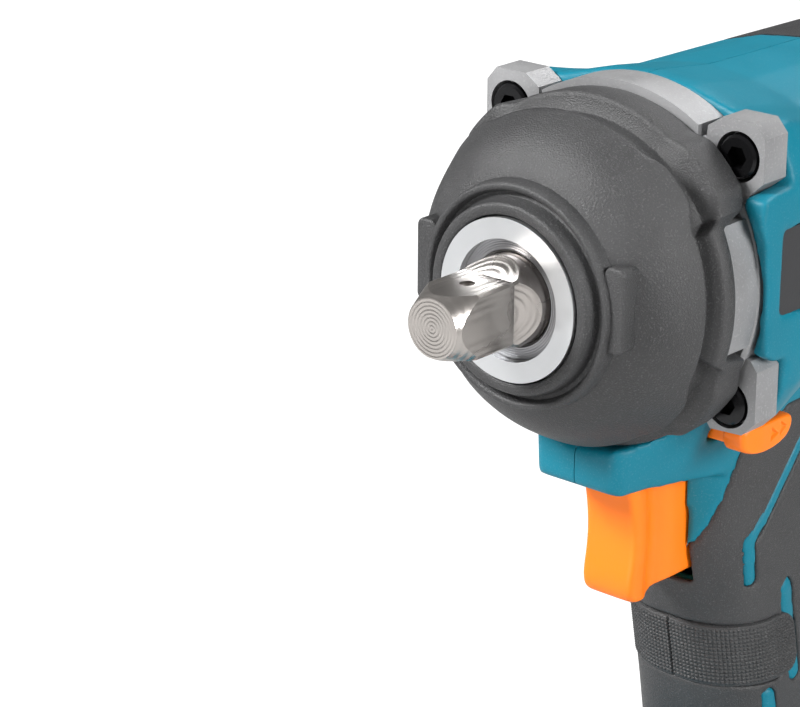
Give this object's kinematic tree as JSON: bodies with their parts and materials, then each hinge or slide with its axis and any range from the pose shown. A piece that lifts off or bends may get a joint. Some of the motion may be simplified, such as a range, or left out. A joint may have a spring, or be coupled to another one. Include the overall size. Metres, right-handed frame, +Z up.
{
  "type": "cordless impact wrench",
  "caption": "Pistol-grip cordless impact wrench with a square drive, rubber nose guard, planetary hammer mechanism, trigger, direction lever and slide-off battery.",
  "frame": {"origin": "centre of the battery's flat base, on the surface that the tool stands on", "axes": "+Z up, -Y along the drive axis out of the nose, X = 0 the plane where the housing halves meet"},
  "size_m": [0.074, 0.168, 0.2365],
  "materials": {
    "teal_shell": "fine textured teal moulding",
    "orange_control": "satin orange moulding",
    "black_rubber": "grained soft overmould",
    "black_plastic": "fine textured black moulding",
    "cast_alloy": "blasted die casting",
    "turned_steel": "turned and ground",
    "bright_washer": "pressed bright steel",
    "black_screw": "black oxide, semi-gloss",
    "zinc_screw": "zinc plated",
    "hard_steel": "machined hardened steel",
    "spring_steel": "drawn spring wire",
    "lamination": "stacked electrical steel",
    "copper": "enamelled copper windings",
    "circuit_board": "solder mask",
    "magnet": "nickel plated magnets",
    "cell_wrap": "shrink wrap",
    "terminal_brass": "plated blades"
  },
  "bodies": {
    "tool": {"nose_washer": "bright_washer", "anvil_bush": "hard_steel", "nose_bumper": "black_rubber", "gear_case": "cast_alloy", "gear_case_screws": "black_screw", "ring_gear": "hard_steel", "gear_case_cover": "cast_alloy", "spindle_bearing": "zinc_screw", "front_motor_bearing": "zinc_screw", "rear_motor_bearing": "zinc_screw", "stator_core": "lamination", "stator_coils": "copper", "sensor_board": "circuit_board", "grip_overmold": "black_rubber", "grip_patch": "black_rubber", "rear_overmold": "black_rubber", "housing_left": "teal_shell", "housing_right": "teal_shell", "housing_screws": "zinc_screw", "side_vent_right": "black_plastic", "side_vent_left": "black_plastic", "switch_body": "black_plastic", "control_module": "black_plastic", "terminal_block": "black_plastic", "terminal_blades": "terminal_brass"},
    "anvil": {"anvil": "turned_steel"},
    "spindle": {"spindle": "hard_steel", "planet_pins": "hard_steel", "hammer_spring": "spring_steel"},
    "planet_1": {"planet_gear_1": "hard_steel"},
    "planet_2": {"planet_gear_2": "hard_steel"},
    "planet_3": {"planet_gear_3": "hard_steel"},
    "cam": {"cam_balls": "magnet"},
    "hammer": {"hammer": "hard_steel"},
    "rotor": {"sun_pinion": "hard_steel", "rotor_shaft": "hard_steel", "rotor_core": "lamination", "rotor_magnets": "magnet", "cooling_fan": "black_plastic"},
    "trigger": {"trigger": "orange_control"},
    "direction_lever": {"direction_lever": "orange_control"},
    "battery": {"battery_lower_case": "black_plastic", "battery_upper_case": "black_plastic", "battery_cells": "cell_wrap", "battery_board": "circuit_board"},
    "battery_latch": {"battery_latch": "orange_control"}
  },
  "joints": [
    {"name": "spindle_spin", "type": "hinge", "parent": "tool", "child": "spindle", "pos_m": [0, -0.02, 0.2], "axis": [0, 1, 0], "continuous": true},
    {"name": "anvil_spin", "type": "hinge", "parent": "tool", "child": "anvil", "pos_m": [0, -0.08, 0.2], "axis": [0, 1, 0], "continuous": true},
    {"name": "rotor_spin", "type": "hinge", "parent": "tool", "child": "rotor", "pos_m": [0, 0.01, 0.2], "axis": [0, 1, 0], "continuous": true},
    {"name": "planet_1_spin", "type": "hinge", "parent": "spindle", "child": "planet_1", "pos_m": [0, -0.023, 0.215], "axis": [0, 1, 0], "continuous": true},
    {"name": "planet_2_spin", "type": "hinge", "parent": "spindle", "child": "planet_2", "pos_m": [-0.01299, -0.023, 0.1925], "axis": [0, 1, 0], "continuous": true},
    {"name": "planet_3_spin", "type": "hinge", "parent": "spindle", "child": "planet_3", "pos_m": [0.01299, -0.023, 0.1925], "axis": [0, 1, 0], "continuous": true},
    {"name": "cam_turn", "type": "hinge", "parent": "spindle", "child": "cam", "pos_m": [0, -0.042, 0.2], "axis": [0, 1, 0], "range_deg": [0, 25]},
    {"name": "hammer_draw", "type": "slide", "parent": "cam", "child": "hammer", "axis": [0, 1, 0], "range_m": [0, 0.004], "stiffness_N_per_m": 60, "deforming": ["hammer_spring"]},
    {"name": "trigger_pull", "type": "slide", "parent": "tool", "child": "trigger", "axis": [0, 1, 0], "range_m": [0, 0.007], "stiffness_N_per_m": 600, "springref_m": -0.003},
    {"name": "lever_shift", "type": "slide", "parent": "tool", "child": "direction_lever", "axis": [1, 0, 0], "range_m": [-0.0026, 0.0026]},
    {"name": "battery_slide", "type": "slide", "parent": "tool", "child": "battery", "axis": [0, -1, 0], "range_m": [0, 0.095]},
    {"name": "latch_press", "type": "slide", "parent": "battery", "child": "battery_latch", "axis": [0, 0, -1], "range_m": [0, 0.004], "stiffness_N_per_m": 500, "springref_m": -0.002}
  ],
  "couplings": [
    {"joint": "anvil_spin", "follows": "spindle_spin", "ratio": 1},
    {"joint": "rotor_spin", "follows": "spindle_spin", "ratio": 5},
    {"joint": "planet_1_spin", "follows": "spindle_spin", "ratio": -2.6667},
    {"joint": "planet_2_spin", "follows": "spindle_spin", "ratio": -2.6667},
    {"joint": "planet_3_spin", "follows": "spindle_spin", "ratio": -2.6667},
    {"joint": "hammer_draw", "follows": "cam_turn", "m_per_rad": 0.0091664}
  ]
}
